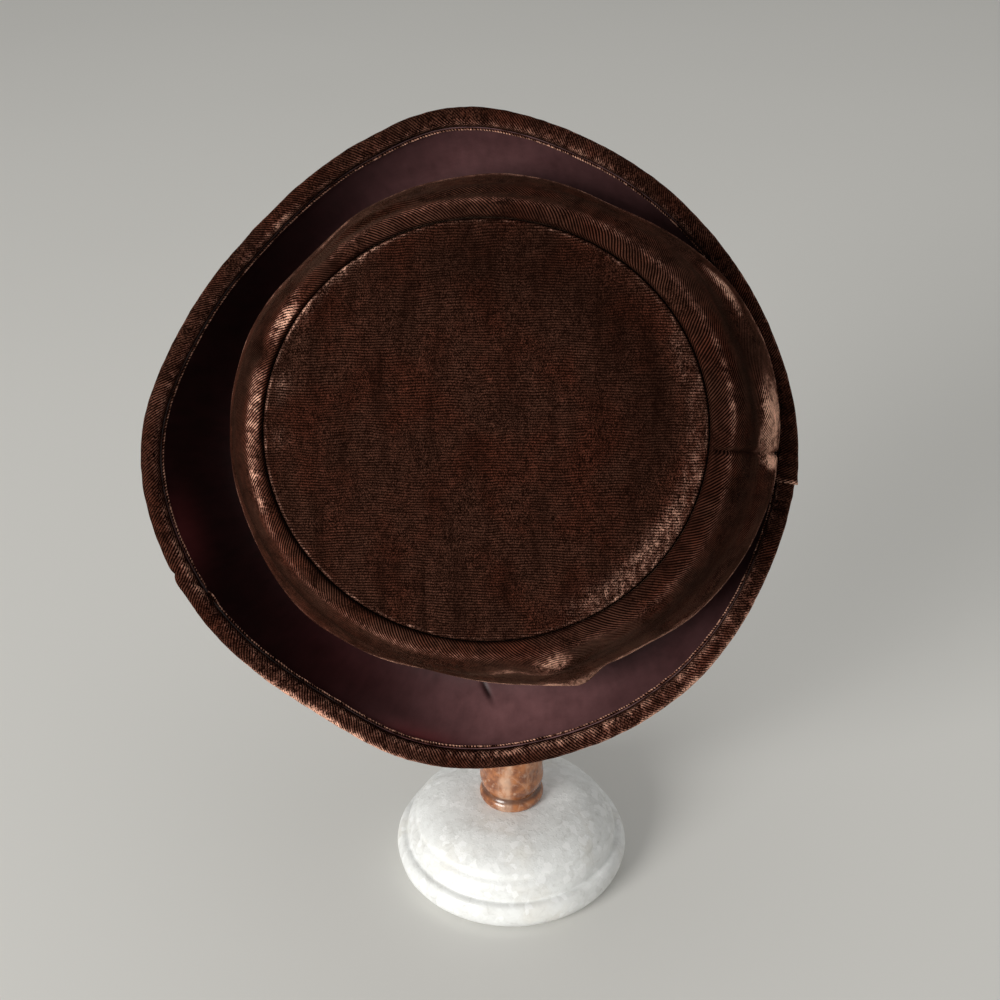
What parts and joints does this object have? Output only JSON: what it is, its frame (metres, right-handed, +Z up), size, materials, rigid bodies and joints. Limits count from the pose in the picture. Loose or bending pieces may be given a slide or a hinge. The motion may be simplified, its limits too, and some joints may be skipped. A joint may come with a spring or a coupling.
{
  "type": "velvet hat with a turned-up brim on a stand",
  "caption": "Velvet hat with a flat oval crown top, a puffed side band and a satin-faced brim turned up all round, hung tilted on a turned stone stand.",
  "frame": {"origin": "centre of the stand's underside", "axes": "+Z up along the post; the hat's front is towards -X and its crown leans towards -Y"},
  "size_m": [0.2339, 0.1499, 0.2962],
  "materials": {
    "velvet": "dark brown pile with a worn, lighter nap",
    "satin": "plum satin, softly glossy",
    "white_stone": "polished white marble",
    "red_stone": "polished reddish-brown mottled stone"
  },
  "bodies": {
    "root": {"stand_base": "white_stone", "stand_post": "red_stone", "crown_tip": "velvet", "crown_band": "velvet", "brim": "velvet", "brim_facing": "satin", "brim_binding": "velvet"}
  },
  "joints": []
}
